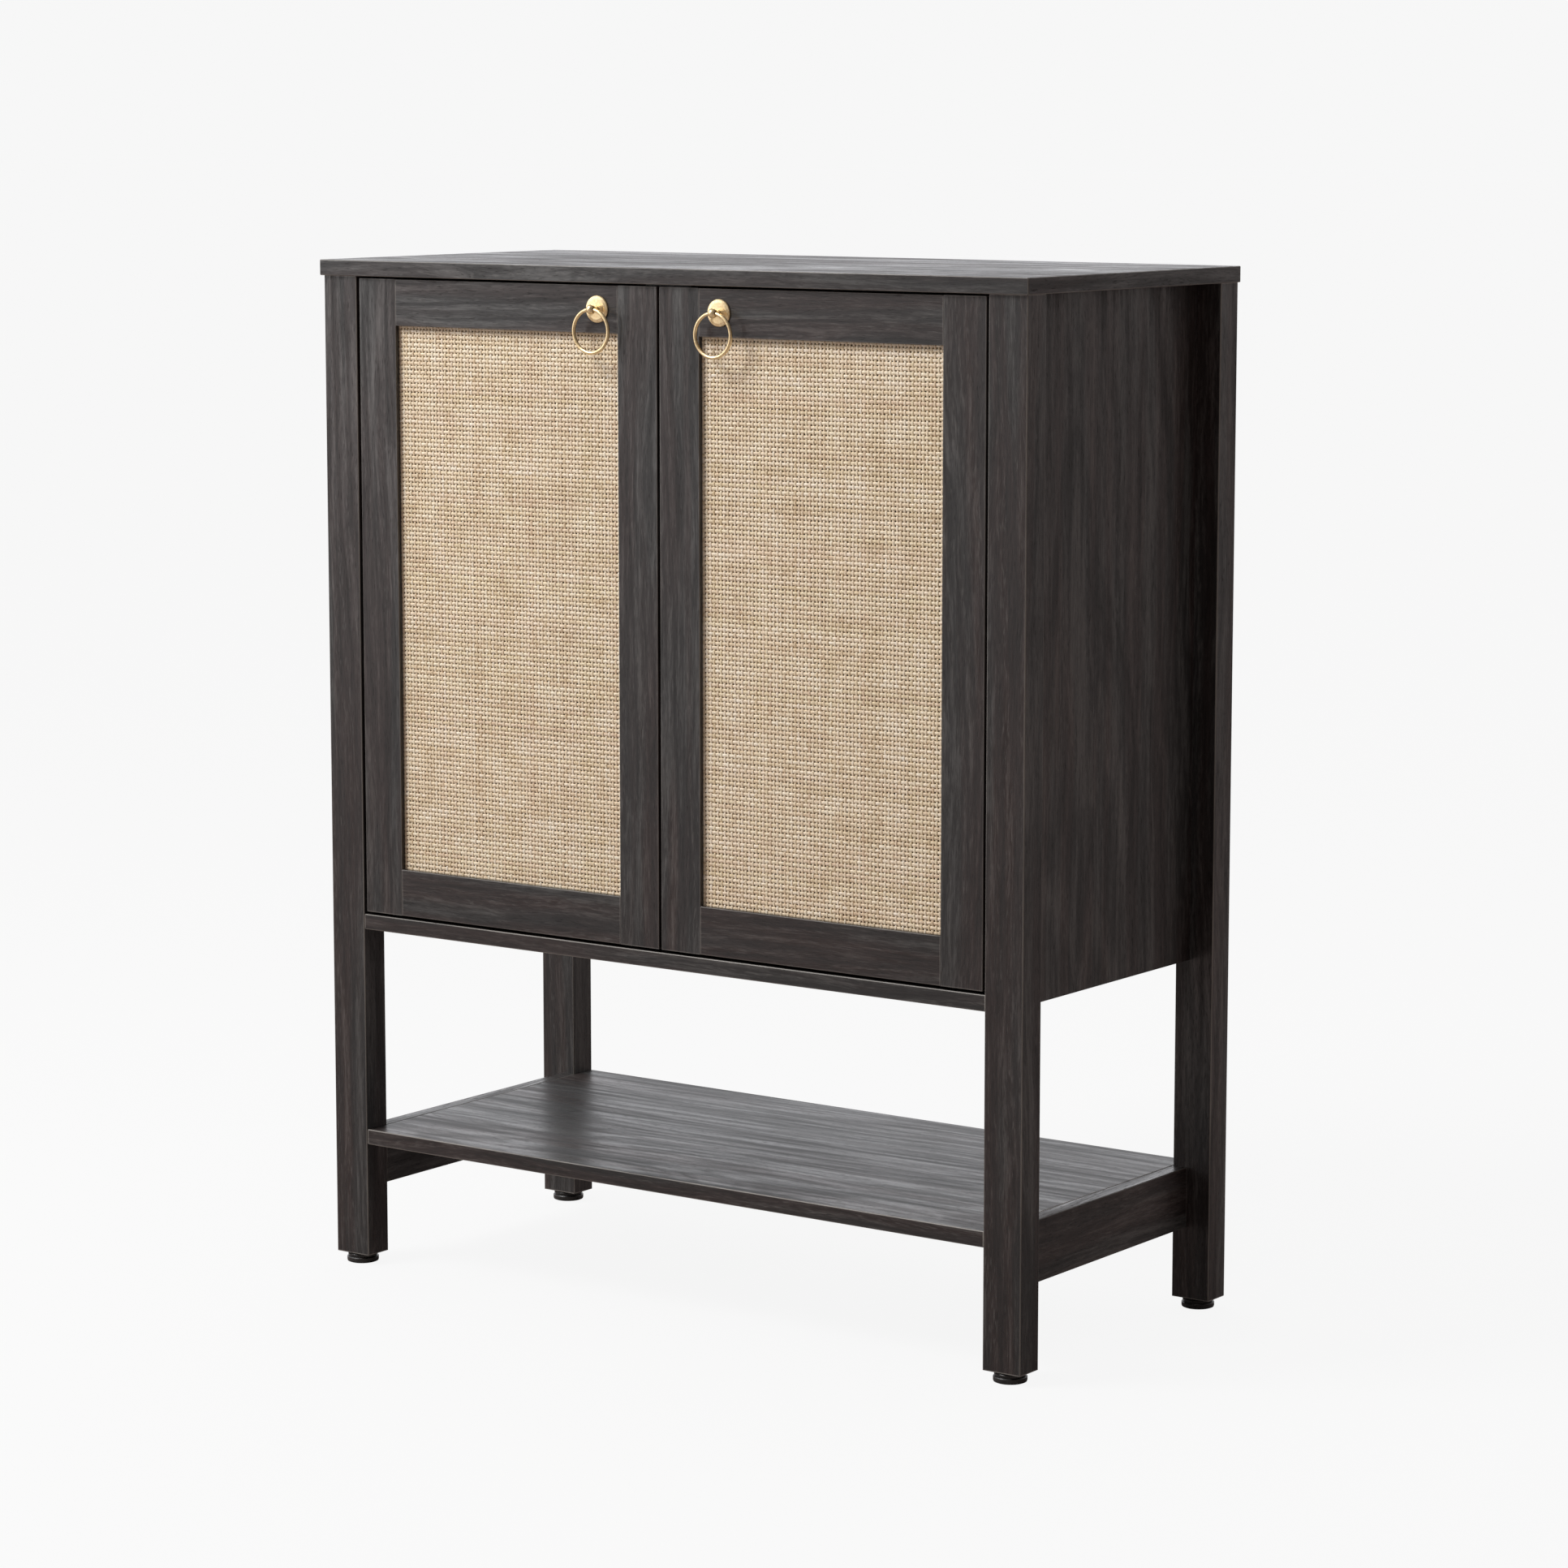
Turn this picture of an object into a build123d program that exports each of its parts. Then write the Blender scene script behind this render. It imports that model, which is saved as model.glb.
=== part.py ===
from build123d import *
import math
import os

# Two-door shoe cabinet on legs: woven rattan doors above an open shoe bay.
# Millimetres.  Front faces -Y, +X is to the viewer's right, +Z is up, and the floor is z = 0.
# The origin is on the floor under the middle of the whole cabinet, ring pulls included.

os.makedirs("parts", exist_ok=True)

# ---------------------------------------------------------------- driving dimensions
WIDTH = 800.0            # across the outer faces of the legs
DEPTH = 356.0            # over the legs, front to back
HEIGHT = 981.0           # floor to top surface
BOARD = 15.0             # every laminated board
LEG_X = 40.0             # leg section, side to side
LEG_Y = 30.0             # leg section, front to back
FOOT_HEIGHT = 10.0       # visible height of a levelling foot
TOP_SIDE = 2.5           # overhang of the top past the legs
TOP_FRONT = 3.5
TOP_BACK = 0.5
EDGE_ROUND = 1.0         # rounding on visible board edges

CABINET_BOTTOM = 335.0   # underside of the closed cabinet
SHELF_TOP = 136.5        # top of the open lower shelf
RAIL_HEIGHT = 58.0       # lower side rails, flush with the shelf top
SHELF_GAP = 0.3          # assembly gap at each end of the lower shelf

DOOR_INSET = 1.0         # door face behind the leg faces
DOOR_GAP = 3.0           # reveal beside and below each door, and between the two
TOP_GAP = 2.0            # reveal above each door
FRAME_ROUND = 0.6        # rounding on the edges of the door members
MEMBER = 45.0            # width of the stiles and the bottom rail
TOP_RAIL = 44.0
REBATE = 6.0             # rebate behind the frame for the rattan
RATTAN_SET = 4.5         # rattan face behind the door face
RATTAN_THICK = 2.5
PANEL_PLAY = 0.4         # play round the rattan and its retaining strips

INNER_SHELVES = 3
INNER_SHELF_FRONT = 36.0  # behind the leg faces, clear of the hinge arms
INNER_SHELF_PLAY = 1.0   # at each end of a lift-off shelf
INNER_SHELF_BACK = 2.0   # between a lift-off shelf and the back panel
PIN_R = 2.5              # shelf pins
PIN_HALF = 8.0
PIN_COLLAR = 1.0         # thickness and height of a pin's collar
PIN_IN = 80.0            # pins in from the front and rear of the cabinet
BACK_THICK = 3.0
BACK_SET = 8.0           # back panel in from the rear faces of the legs
BACK_GROOVE = 5.0

PULL_FROM_SEAM = 23.0    # pull centre to the meeting stile's inner edge
PULL_PLATE_R = 12.5
PULL_PLATE_THICK = 2.4
PULL_POST_REACH = 10.0   # door face to the centre of the ball
PULL_BALL_R = 4.4
PULL_NECK_R = 2.4
RING_OUTER_R = 21.6
RING_WIRE_R = 1.7
RING_HOLE_R = 2.4
PULL_THREAD_R = 1.6
PULL_THREAD_DEPTH = 5.0  # screw end beyond the door face, inside the post
PULL_HEAD_R = 3.8
PULL_HEAD_HIGH = 1.9

CUP_R = 17.5             # hinge cup, a standard 35 mm bore
CUP_DEPTH = 11.5
CUP_FROM_EDGE = 20.5     # cup centre to the hinge edge of the door
CUP_WALL = 0.8
PIVOT_FROM_EDGE = 13.0   # hinge pin to the hinge edge of the door
PIVOT_FROM_FACE = 7.5    # hinge pin behind the door face
HINGE_PIN_R = 1.5
PIN_SHORT = 0.85         # pin end inside the cup's outer surface
RUNNING = 0.05           # radial clearance of a running fit
ARM_THICK = 2.4
ARM_WIDE = 12.0
ARM_CROSS = 11.7         # pin to the middle of the arm's outward leg
ARM_RISE = 19.0          # pin to the middle of the arm's return leg
ARM_BEND = 2.2
ARM_REACH = 61.0         # pin to the rear end of the arm
PLATE_THICK = 3.0
PLATE_HALF = 20.0        # half height of a mounting plate
PLATE_SCREW = 14.0       # plate screws above and below the hinge's middle
PLATE_SCREW_LENGTH = 13.0
CUP_WINGS = (13.0, 1.0, 54.0)   # the cup's screw flange
CUP_SCREW = 23.0         # cup screws above and below the hinge's middle
CUP_SCREW_LENGTH = 11.0
CORNER = 4.0             # rounded corners of flanges and plates
HINGE_HEIGHTS = (85.0, 525.0)   # above the bottom edge of the door

DOWEL_R = 4.0
DOWEL_LENGTH = 30.0
DOWEL_BLIND = 9.0        # depth of a dowel in a board's face
PANEL_DOWEL_IN = 60.0    # outer dowels of a side panel, in from its ends
RAIL_DOWEL_IN = 15.0     # dowels of a lower side rail, in from its edges
FLOOR_DOWEL_IN = 120.0   # dowels of the floors, in from the front and rear
DOOR_DOWEL_R = 3.0
DOOR_DOWEL_IN = 14.0     # dowels of a door rail, in from the door's ends
CAM_IN = 75.0            # cam locks, in from the front and rear
CAM_R = 7.5
CAM_DEPTH = 12.5
CAM_FROM_EDGE = 24.0
BOLT_R = 2.75
BOLT_HOLE_R = 3.5
BOLT_THREAD = 9.0
SCREW_R = 1.75
SCREW_HEAD_R = 3.4
SCREW_HEAD_HIGH = 1.6

CATCH_HALF = 26.0        # half length of the magnet housing
CATCH_DEEP = 14.0
CATCH_HIGH = 16.0
CATCH_CLEAR = 1.3        # magnet face behind the door's back
STRIKE_LONG = 18.0
STRIKE_FROM_MEET = 4.0
STRIKE_DROP = (17.0, 3.0)   # lower and upper edge of a strike, below the top of the door
STRIKE_THICK = 1.0

FOOT_R = 15.5
STUD_R = 4.0
STUD_LENGTH = 24.0
INSERT_R = 6.5
INSERT_LENGTH = 20.0
FOOT_PLAY = 0.3          # between the foot and the underside of its leg

# ---------------------------------------------------------------- derived places
BALL_FRONT = PULL_POST_REACH + PULL_BALL_R - DOOR_INSET
FRONT = (BALL_FRONT - DEPTH - TOP_BACK) / 2          # y of the leg faces
REAR = FRONT + DEPTH
HALF = WIDTH / 2
INNER = HALF - LEG_X                                  # x of the clear inside faces
TOP_UNDER = HEIGHT - BOARD
FLOOR_TOP = CABINET_BOTTOM + BOARD                    # inside floor of the cabinet
DOOR_FACE = FRONT + DOOR_INSET
DOOR_BACK = DOOR_FACE + BOARD
DOOR_LOW = FLOOR_TOP + DOOR_GAP
DOOR_HIGH = TOP_UNDER - TOP_GAP
DOOR_HINGE_EDGE = INNER - DOOR_GAP                    # |x| of a door's hinge edge
DOOR_MEET_EDGE = DOOR_GAP / 2                         # |x| of a door's meeting edge
OPEN_LOW = DOOR_LOW + MEMBER
OPEN_HIGH = DOOR_HIGH - TOP_RAIL
OPEN_OUT = DOOR_HINGE_EDGE - MEMBER
OPEN_IN = DOOR_MEET_EDGE + MEMBER
RATTAN_FACE = DOOR_FACE + RATTAN_SET
PULL_X = OPEN_IN + PULL_FROM_SEAM
PULL_Z = DOOR_HIGH - TOP_RAIL / 2
BALL_Y = DOOR_FACE - PULL_POST_REACH
RING_R = RING_OUTER_R - RING_WIRE_R                   # centre line of the ring
PIVOT_X = DOOR_HINGE_EDGE - PIVOT_FROM_EDGE
PIVOT_Y = DOOR_FACE + PIVOT_FROM_FACE
CUP_X = DOOR_HINGE_EDGE - CUP_FROM_EDGE
BACK_FRONT = REAR - BACK_SET - BACK_THICK             # y of the back panel's inside face
SIDES = (("left", -1), ("right", 1))
ENDS = (("front", FRONT + LEG_Y / 2, -1), ("rear", REAR - LEG_Y / 2, 1))

parts = {}


# ---------------------------------------------------------------- small helpers
def block(x0, x1, y0, y1, z0, z1):
    """A box between two corners, in any order."""
    size = (abs(x1 - x0), abs(y1 - y0), abs(z1 - z0))
    return Pos((x0 + x1) / 2, (y0 + y1) / 2, (z0 + z1) / 2) * Box(*size)


def rod(start, axis, radius, length):
    """A cylinder from a point along an axis."""
    place = Plane(origin=start, z_dir=axis)
    return place * Cylinder(radius, length, align=(Align.CENTER, Align.CENTER, Align.MIN))


def cut(name, tool):
    parts[name] = parts[name] - tool


def rounded(solid, axes, radius=EDGE_ROUND):
    """Round the straight edges that run along the given axes."""
    edges = ShapeList()
    for axis in axes:
        edges += solid.edges().filter_by(axis)
    return fillet(edges, radius)


def group(solids):
    return Compound(children=list(solids))


def turned(points, centre, axis):
    """A turned piece from its half outline, (radius, height) points from the axis."""
    outline = Polyline([(r, 0, h) for r, h in points], close=True)
    piece = revolve(make_face(outline), Axis.Z)
    return Plane(origin=centre, z_dir=axis) * piece


def screw(head, axis, length):
    """A pan-head screw: `head` is on the seat, `axis` points into the work."""
    into = Vector(*axis)
    top = Vector(*head) - into * SCREW_HEAD_HIGH
    tip = SCREW_HEAD_HIGH + length
    body = turned([(0, 0), (SCREW_HEAD_R - 0.9, 0), (SCREW_HEAD_R, 0.8),
                   (SCREW_HEAD_R, SCREW_HEAD_HIGH), (SCREW_R, SCREW_HEAD_HIGH),
                   (SCREW_R, tip - 1.2), (0, tip)], top, axis)
    place = Plane(origin=top, z_dir=axis)
    for angle in (45, 135):
        body -= place * Rot(0, 0, angle) * Pos(0, 0, 0.45) * Box(3.6, 0.8, 0.9)
    return body


def screw_hole(head, axis, length):
    return turned([(0, 0), (SCREW_R, 0), (SCREW_R, length - 1.2), (0, length)], head, axis)


# ---------------------------------------------------------------- boards and legs
def make_carcass():
    for side, s in SIDES:
        for end, y, e in ENDS:
            leg = block(s * INNER, s * HALF, y - LEG_Y / 2, y + LEG_Y / 2, FOOT_HEIGHT, TOP_UNDER)
            parts[f"leg_{end}_{side}"] = rounded(leg, [Axis.Z])
        outer = s * (INNER + BOARD)
        span = (FRONT + LEG_Y, REAR - LEG_Y)
        parts[f"side_panel_{side}"] = block(s * INNER, outer, *span, CABINET_BOTTOM, TOP_UNDER)
        rail = block(s * INNER, outer, *span, SHELF_TOP - RAIL_HEIGHT, SHELF_TOP)
        parts[f"lower_rail_{side}"] = rounded(rail, [Axis.Y])

    top = block(-HALF - TOP_SIDE, HALF + TOP_SIDE, FRONT - TOP_FRONT, REAR + TOP_BACK,
                TOP_UNDER, HEIGHT)
    parts["top_panel"] = rounded(top, [Axis.X, Axis.Y, Axis.Z])

    floor = block(-INNER, INNER, DOOR_FACE, REAR - DOOR_INSET, CABINET_BOTTOM, FLOOR_TOP)
    parts["bottom_panel"] = rounded(floor, [Axis.X])

    reach = INNER - SHELF_GAP
    shelf = block(-reach, reach, DOOR_FACE, REAR - DOOR_INSET, SHELF_TOP - BOARD, SHELF_TOP)
    parts["lower_shelf"] = rounded(shelf, [Axis.X, Axis.Y])

    slot_y = (BACK_FRONT, BACK_FRONT + BACK_THICK)
    back = block(-INNER - BACK_GROOVE, INNER + BACK_GROOVE, *slot_y,
                 FLOOR_TOP - BACK_GROOVE, TOP_UNDER + BACK_GROOVE)
    parts["back_panel"] = back
    for name in ("top_panel", "bottom_panel", "leg_rear_left", "leg_rear_right"):
        cut(name, back)


# ---------------------------------------------------------------- inner shelves on pins
def make_inner_shelves():
    clear = TOP_UNDER - FLOOR_TOP - INNER_SHELVES * BOARD
    pitch = clear / (INNER_SHELVES + 1) + BOARD
    reach = INNER - INNER_SHELF_PLAY
    front = FRONT + INNER_SHELF_FRONT
    rear = BACK_FRONT - INNER_SHELF_BACK
    collar = PIN_R + PIN_COLLAR
    pins = []
    for n, level in enumerate(("lower", "middle", "upper")):
        under = FLOOR_TOP + pitch * (n + 1) - BOARD
        shelf = block(-reach, reach, front, rear, under, under + BOARD)
        parts[f"inner_shelf_{level}"] = rounded(shelf, [Axis.X])
        for side, s in SIDES:
            for y in (FRONT + PIN_IN, REAR - PIN_IN):
                seat = (s * INNER, y, under - PIN_R)
                cut(f"side_panel_{side}", rod(seat, (s, 0, 0), PIN_R, PIN_HALF))
                pin = turned([(0, -PIN_HALF), (PIN_R, -PIN_HALF), (PIN_R, 0), (collar, 0),
                              (collar, PIN_COLLAR), (PIN_R, PIN_COLLAR), (PIN_R, PIN_HALF),
                              (0, PIN_HALF)], seat, (-s, 0, 0))
                pins.append(pin)
    parts["shelf_pins"] = group(pins)


# ---------------------------------------------------------------- hidden joints of the carcass
def make_dowels():
    """Dowels at every board end; each one fills a hole in both of its boards."""
    dowels = []

    def dowel(first, second, face, axis, depth_second):
        start = Vector(*face) - Vector(*axis) * (DOWEL_LENGTH - depth_second)
        peg = rod(start, axis, DOWEL_R, DOWEL_LENGTH)
        cut(first, peg)
        cut(second, peg)
        dowels.append(peg)

    halfway = DOWEL_LENGTH / 2
    middle = INNER + BOARD / 2
    panel_levels = (CABINET_BOTTOM + PANEL_DOWEL_IN, (CABINET_BOTTOM + TOP_UNDER) / 2,
                    TOP_UNDER - PANEL_DOWEL_IN)
    rail_levels = (SHELF_TOP - RAIL_DOWEL_IN, SHELF_TOP - RAIL_HEIGHT + RAIL_DOWEL_IN)
    for side, s in SIDES:
        for end, y, e in ENDS:
            joint = y - e * LEG_Y / 2
            leg = f"leg_{end}_{side}"
            for z in panel_levels:
                dowel(f"side_panel_{side}", leg, (s * middle, joint, z), (0, e, 0), halfway)
            for z in rail_levels:
                dowel(f"lower_rail_{side}", leg, (s * middle, joint, z), (0, e, 0), halfway)
            face = (s * (HALF - LEG_X / 2), y, TOP_UNDER)
            dowel(leg, "top_panel", face, (0, 0, 1), DOWEL_BLIND)
        for y in (FRONT + FLOOR_DOWEL_IN, REAR - FLOOR_DOWEL_IN):
            face = (s * INNER, y, CABINET_BOTTOM + BOARD / 2)
            dowel("bottom_panel", f"side_panel_{side}", face, (s, 0, 0), DOWEL_BLIND)
            face = (s * INNER, y, SHELF_TOP - BOARD / 2)
            dowel("lower_shelf", f"lower_rail_{side}", face, (s, 0, 0), DOWEL_BLIND)
    parts["dowels"] = group(dowels)


def make_cams():
    """Cam locks with their bolts: top to side panels, and both floors to the sides."""
    cams = []
    bolts = []

    def cam_joint(board, other, edge, to_other, mouth, out):
        """`edge` is on the joint, `to_other` points into `other`, `mouth` is on the cam's face."""
        toward = Vector(*to_other)
        outward = Vector(*out)
        centre = Vector(*edge) - toward * CAM_FROM_EDGE
        seat = centre + outward * mouth
        pocket = rod(seat, outward * -1, CAM_R, CAM_DEPTH)
        passage = rod(Vector(*edge), toward * -1, BOLT_HOLE_R, CAM_FROM_EDGE)
        thread = rod(Vector(*edge), to_other, BOLT_R, BOLT_THREAD)
        neck = CAM_FROM_EDGE - 2
        bolt = rod(centre, to_other, BOLT_R - 0.75, neck)
        bolt += rod(centre + toward * neck, to_other, BOLT_R, BOLT_THREAD + 2)
        bolt += rod(centre, to_other, BOLT_HOLE_R - 0.2, 2.0)
        cam = pocket - rod(centre - toward * 3, to_other, BOLT_HOLE_R + 0.4, CAM_R + 4)
        face = Plane(origin=seat, z_dir=outward)
        for angle in (45, 135):
            cam -= face * Rot(0, 0, angle) * Box(8, 1.2, 1.8)
        cut(board, pocket + passage)
        cut(other, thread)
        cams.append(cam)
        bolts.append(bolt)

    half = BOARD / 2
    for side, s in SIDES:
        for y in (FRONT + CAM_IN, REAR - CAM_IN):
            cam_joint(f"side_panel_{side}", "top_panel", (s * (INNER + half), y, TOP_UNDER),
                      (0, 0, 1), half, (-s, 0, 0))
            cam_joint("bottom_panel", f"side_panel_{side}", (s * INNER, y, CABINET_BOTTOM + half),
                      (s, 0, 0), half, (0, 0, -1))
            cam_joint("lower_shelf", f"lower_rail_{side}", (s * INNER, y, SHELF_TOP - half),
                      (s, 0, 0), half, (0, 0, -1))
    parts["cam_locks"] = group(cams)
    parts["cam_bolts"] = group(bolts)


# ---------------------------------------------------------------- levelling feet
def make_feet():
    inserts = []
    for side, s in SIDES:
        for end, y, e in ENDS:
            x = s * (HALF - LEG_X / 2)
            top = FOOT_HEIGHT - FOOT_PLAY
            profile = [(0, 0), (FOOT_R - 1.6, 0), (FOOT_R - 0.4, 0.5), (FOOT_R, 1.6),
                       (FOOT_R, 4.6), (FOOT_R - 0.5, 5.4), (FOOT_R - 1.7, 5.8),
                       (FOOT_R - 1.7, 6.6), (FOOT_R - 1.0, 7.0), (FOOT_R - 1.0, 8.2),
                       (FOOT_R - 2.4, top), (STUD_R, top), (STUD_R, FOOT_HEIGHT + STUD_LENGTH - 1),
                       (STUD_R - 1, FOOT_HEIGHT + STUD_LENGTH), (0, FOOT_HEIGHT + STUD_LENGTH)]
            parts[f"foot_{end}_{side}"] = turned(profile, (x, y, 0), (0, 0, 1))
            base = (x, y, FOOT_HEIGHT)
            insert = rod(base, (0, 0, 1), INSERT_R, INSERT_LENGTH)
            bore = rod(base, (0, 0, 1), STUD_R + RUNNING, STUD_LENGTH + 4)
            cut(f"leg_{end}_{side}", insert + bore)
            inserts.append(insert - bore)
    parts["foot_inserts"] = group(inserts)


# ---------------------------------------------------------------- doors
def make_door(side, s):
    """Frame-and-panel door; s is -1 for the left door and 1 for the right one."""
    face = (DOOR_FACE, DOOR_BACK)
    edge = s * DOOR_HINGE_EDGE
    meet = s * DOOR_MEET_EDGE
    frame = {
        "hinge_stile": block(edge, s * OPEN_OUT, *face, DOOR_LOW, DOOR_HIGH),
        "meeting_stile": block(s * OPEN_IN, meet, *face, DOOR_LOW, DOOR_HIGH),
        "top_rail": block(s * OPEN_OUT, s * OPEN_IN, *face, OPEN_HIGH, DOOR_HIGH),
        "bottom_rail": block(s * OPEN_OUT, s * OPEN_IN, *face, DOOR_LOW, OPEN_LOW),
    }
    rebate = block(s * (OPEN_OUT + REBATE), s * (OPEN_IN - REBATE), RATTAN_FACE, DOOR_BACK,
                   OPEN_LOW - REBATE, OPEN_HIGH + REBATE)
    for member, solid in frame.items():
        lengthwise = Axis.Z if "stile" in member else Axis.X
        parts[f"{side}_door_{member}"] = rounded(solid, [lengthwise], FRAME_ROUND) - rebate

    x0 = s * (OPEN_OUT + REBATE - PANEL_PLAY)
    x1 = s * (OPEN_IN - REBATE + PANEL_PLAY)
    z0 = OPEN_LOW - REBATE + PANEL_PLAY
    z1 = OPEN_HIGH + REBATE - PANEL_PLAY
    rattan_back = RATTAN_FACE + RATTAN_THICK
    parts[f"{side}_door_rattan_panel"] = block(x0, x1, RATTAN_FACE, rattan_back, z0, z1)

    depth = (rattan_back, DOOR_BACK)
    strip = REBATE - PANEL_PLAY
    strips = [block(x0, x0 - s * strip, *depth, z0, z1), block(x1, x1 + s * strip, *depth, z0, z1)]
    inner = (x0 - s * strip, x1 + s * strip)
    strips.append(block(*inner, *depth, z0, z0 + strip))
    strips.append(block(*inner, *depth, z1 - strip, z1))
    parts[f"{side}_door_retaining_strips"] = group(strips)

    pegs = []
    middle = DOOR_FACE + BOARD / 2
    for member, x, along in (("hinge_stile", s * OPEN_OUT, s), ("meeting_stile", s * OPEN_IN, -s)):
        for rail, z in (("top_rail", DOOR_HIGH - DOOR_DOWEL_IN),
                        ("bottom_rail", DOOR_LOW + DOOR_DOWEL_IN)):
            start = (x - along * DOWEL_LENGTH / 2, middle, z)
            peg = rod(start, (along, 0, 0), DOOR_DOWEL_R, DOWEL_LENGTH)
            cut(f"{side}_door_{member}", peg)
            cut(f"{side}_door_{rail}", peg)
            pegs.append(peg)
    parts[f"{side}_door_dowels"] = group(pegs)


def make_pull(side, s):
    """Ring pull: turned backplate, post with a drilled ball, and a ring hanging in the ball."""
    x = s * PULL_X
    seat = (x, DOOR_FACE, PULL_Z)
    r = PULL_PLATE_R
    plate = turned([(PULL_NECK_R, 0), (r - 0.3, 0), (r, 0.4), (r, 1.0), (r - 0.5, 1.6),
                    (r - 3.0, 2.1), (PULL_NECK_R + 1, PULL_PLATE_THICK),
                    (PULL_NECK_R, PULL_PLATE_THICK)], seat, (0, -1, 0))
    parts[f"{side}_pull_backplate"] = plate

    ball = Pos(x, BALL_Y, PULL_Z) * Sphere(PULL_BALL_R)
    neck = rod(seat, (0, -1, 0), PULL_NECK_R, PULL_POST_REACH)
    collar = rod((x, DOOR_FACE - PULL_PLATE_THICK, PULL_Z), (0, -1, 0), PULL_NECK_R + 0.9, 1.2)
    hole = rod((x - 8, BALL_Y, PULL_Z), (1, 0, 0), RING_HOLE_R, 16)
    thread = rod(seat, (0, -1, 0), PULL_THREAD_R, PULL_THREAD_DEPTH)
    parts[f"{side}_pull_post"] = ball + neck + collar - hole - thread

    centre = (x, BALL_Y, PULL_Z - RING_R)
    parts[f"{side}_pull_ring"] = Plane(origin=centre, z_dir=(0, -1, 0)) * Torus(RING_R, RING_WIRE_R)

    head = (x, DOOR_BACK, PULL_Z)
    top = (x, DOOR_BACK + PULL_HEAD_HIGH, PULL_Z)
    bolt = rod(head, (0, -1, 0), PULL_THREAD_R, BOARD + PULL_THREAD_DEPTH)
    bolt += turned([(0, 0), (PULL_HEAD_R - 1.2, 0), (PULL_HEAD_R, 0.9),
                    (PULL_HEAD_R, PULL_HEAD_HIGH), (0, PULL_HEAD_HIGH)], top, (0, -1, 0))
    for angle in (0, 90):
        bolt -= Pos(*top) * Rot(0, angle, 0) * Box(4.4, 1.4, 0.9)
    parts[f"{side}_pull_screw"] = bolt
    cut(f"{side}_door_top_rail", rod(head, (0, -1, 0), PULL_THREAD_R, BOARD))


# ---------------------------------------------------------------- concealed hinges
def make_hinges(side, s, plate_screws):
    """Single-pin cup hinges: the cup turns with the door on a cranked arm fixed to the side."""
    stile = f"{side}_door_hinge_stile"
    panel = f"side_panel_{side}"
    cups = []
    pins = []
    cup_screws = []
    arms = []
    plates = []
    pivot_x = s * PIVOT_X
    wall_x = s * INNER
    for height in HINGE_HEIGHTS:
        z = DOOR_LOW + height
        mouth = (s * CUP_X, DOOR_BACK, z)
        bore = rod(mouth, (0, -1, 0), CUP_R, CUP_DEPTH)
        cut(stile, bore)
        hollow = rod(mouth, (0, -1, 0), CUP_R - CUP_WALL, CUP_DEPTH - CUP_WALL)
        flange = CUP_WINGS[1]
        wings = Pos(s * CUP_X, DOOR_BACK + flange / 2, z) * Box(*CUP_WINGS)
        wings = rounded(wings, [Axis.Y], CORNER)
        rim = rod(mouth, (0, 1, 0), CUP_R + 1.2, flange)
        cup = (bore + wings + rim) - hollow - rod(mouth, (0, 1, 0), CUP_R - CUP_WALL, flange)
        half_pin = math.sqrt(CUP_R ** 2 - (CUP_FROM_EDGE - PIVOT_FROM_EDGE) ** 2) - PIN_SHORT
        pin = rod((pivot_x, PIVOT_Y, z - half_pin), (0, 0, 1), HINGE_PIN_R, 2 * half_pin)
        cups.append(cup - pin)
        pins.append(pin)
        for dz in (-CUP_SCREW, CUP_SCREW):
            seat = (s * CUP_X, DOOR_BACK + flange, z + dz)
            hole = screw_hole(seat, (0, -1, 0), CUP_SCREW_LENGTH)
            cup_screws.append(screw(seat, (0, -1, 0), CUP_SCREW_LENGTH))
            cut(stile, hole)
            cups[-1] = cups[-1] - hole

        eye = rod((pivot_x, PIVOT_Y, z - ARM_WIDE / 2), (0, 0, 1), HINGE_PIN_R + 1.3, ARM_WIDE)
        eye_bore = rod((pivot_x, PIVOT_Y, z - ARM_WIDE), (0, 0, 1), HINGE_PIN_R + RUNNING,
                       2 * ARM_WIDE)
        seat_x = wall_x - s * (PLATE_THICK + ARM_THICK / 2)
        line = FilletPolyline((pivot_x, PIVOT_Y, z), (pivot_x - s * ARM_CROSS, PIVOT_Y, z),
                              (pivot_x - s * ARM_CROSS, PIVOT_Y + ARM_RISE, z),
                              (seat_x, PIVOT_Y + ARM_RISE, z), (seat_x, PIVOT_Y + ARM_REACH, z),
                              radius=ARM_BEND)
        start = Plane(origin=line @ 0, x_dir=(0, 0, 1), z_dir=line % 0)
        arm = sweep(start * Rectangle(ARM_WIDE, ARM_THICK), path=line)
        arms.append(arm + eye - eye_bore)

        plate_y = (PIVOT_Y + ARM_RISE + 6, PIVOT_Y + ARM_REACH - 3)
        plate = block(wall_x, wall_x - s * PLATE_THICK, *plate_y, z - PLATE_HALF, z + PLATE_HALF)
        plate = rounded(plate, [Axis.X], CORNER)
        for dz in (-PLATE_SCREW, PLATE_SCREW):
            seat = (wall_x - s * PLATE_THICK, sum(plate_y) / 2, z + dz)
            hole = screw_hole(seat, (s, 0, 0), PLATE_SCREW_LENGTH)
            plate_screws.append(screw(seat, (s, 0, 0), PLATE_SCREW_LENGTH))
            plate -= hole
            cut(panel, hole)
        plates.append(plate)
    parts[f"{side}_hinge_cups"] = group(cups)
    parts[f"{side}_hinge_pins"] = group(pins)
    parts[f"{side}_hinge_cup_screws"] = group(cup_screws)
    parts[f"{side}_hinge_arms"] = group(arms)
    parts[f"{side}_hinge_plates"] = group(plates)


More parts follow.
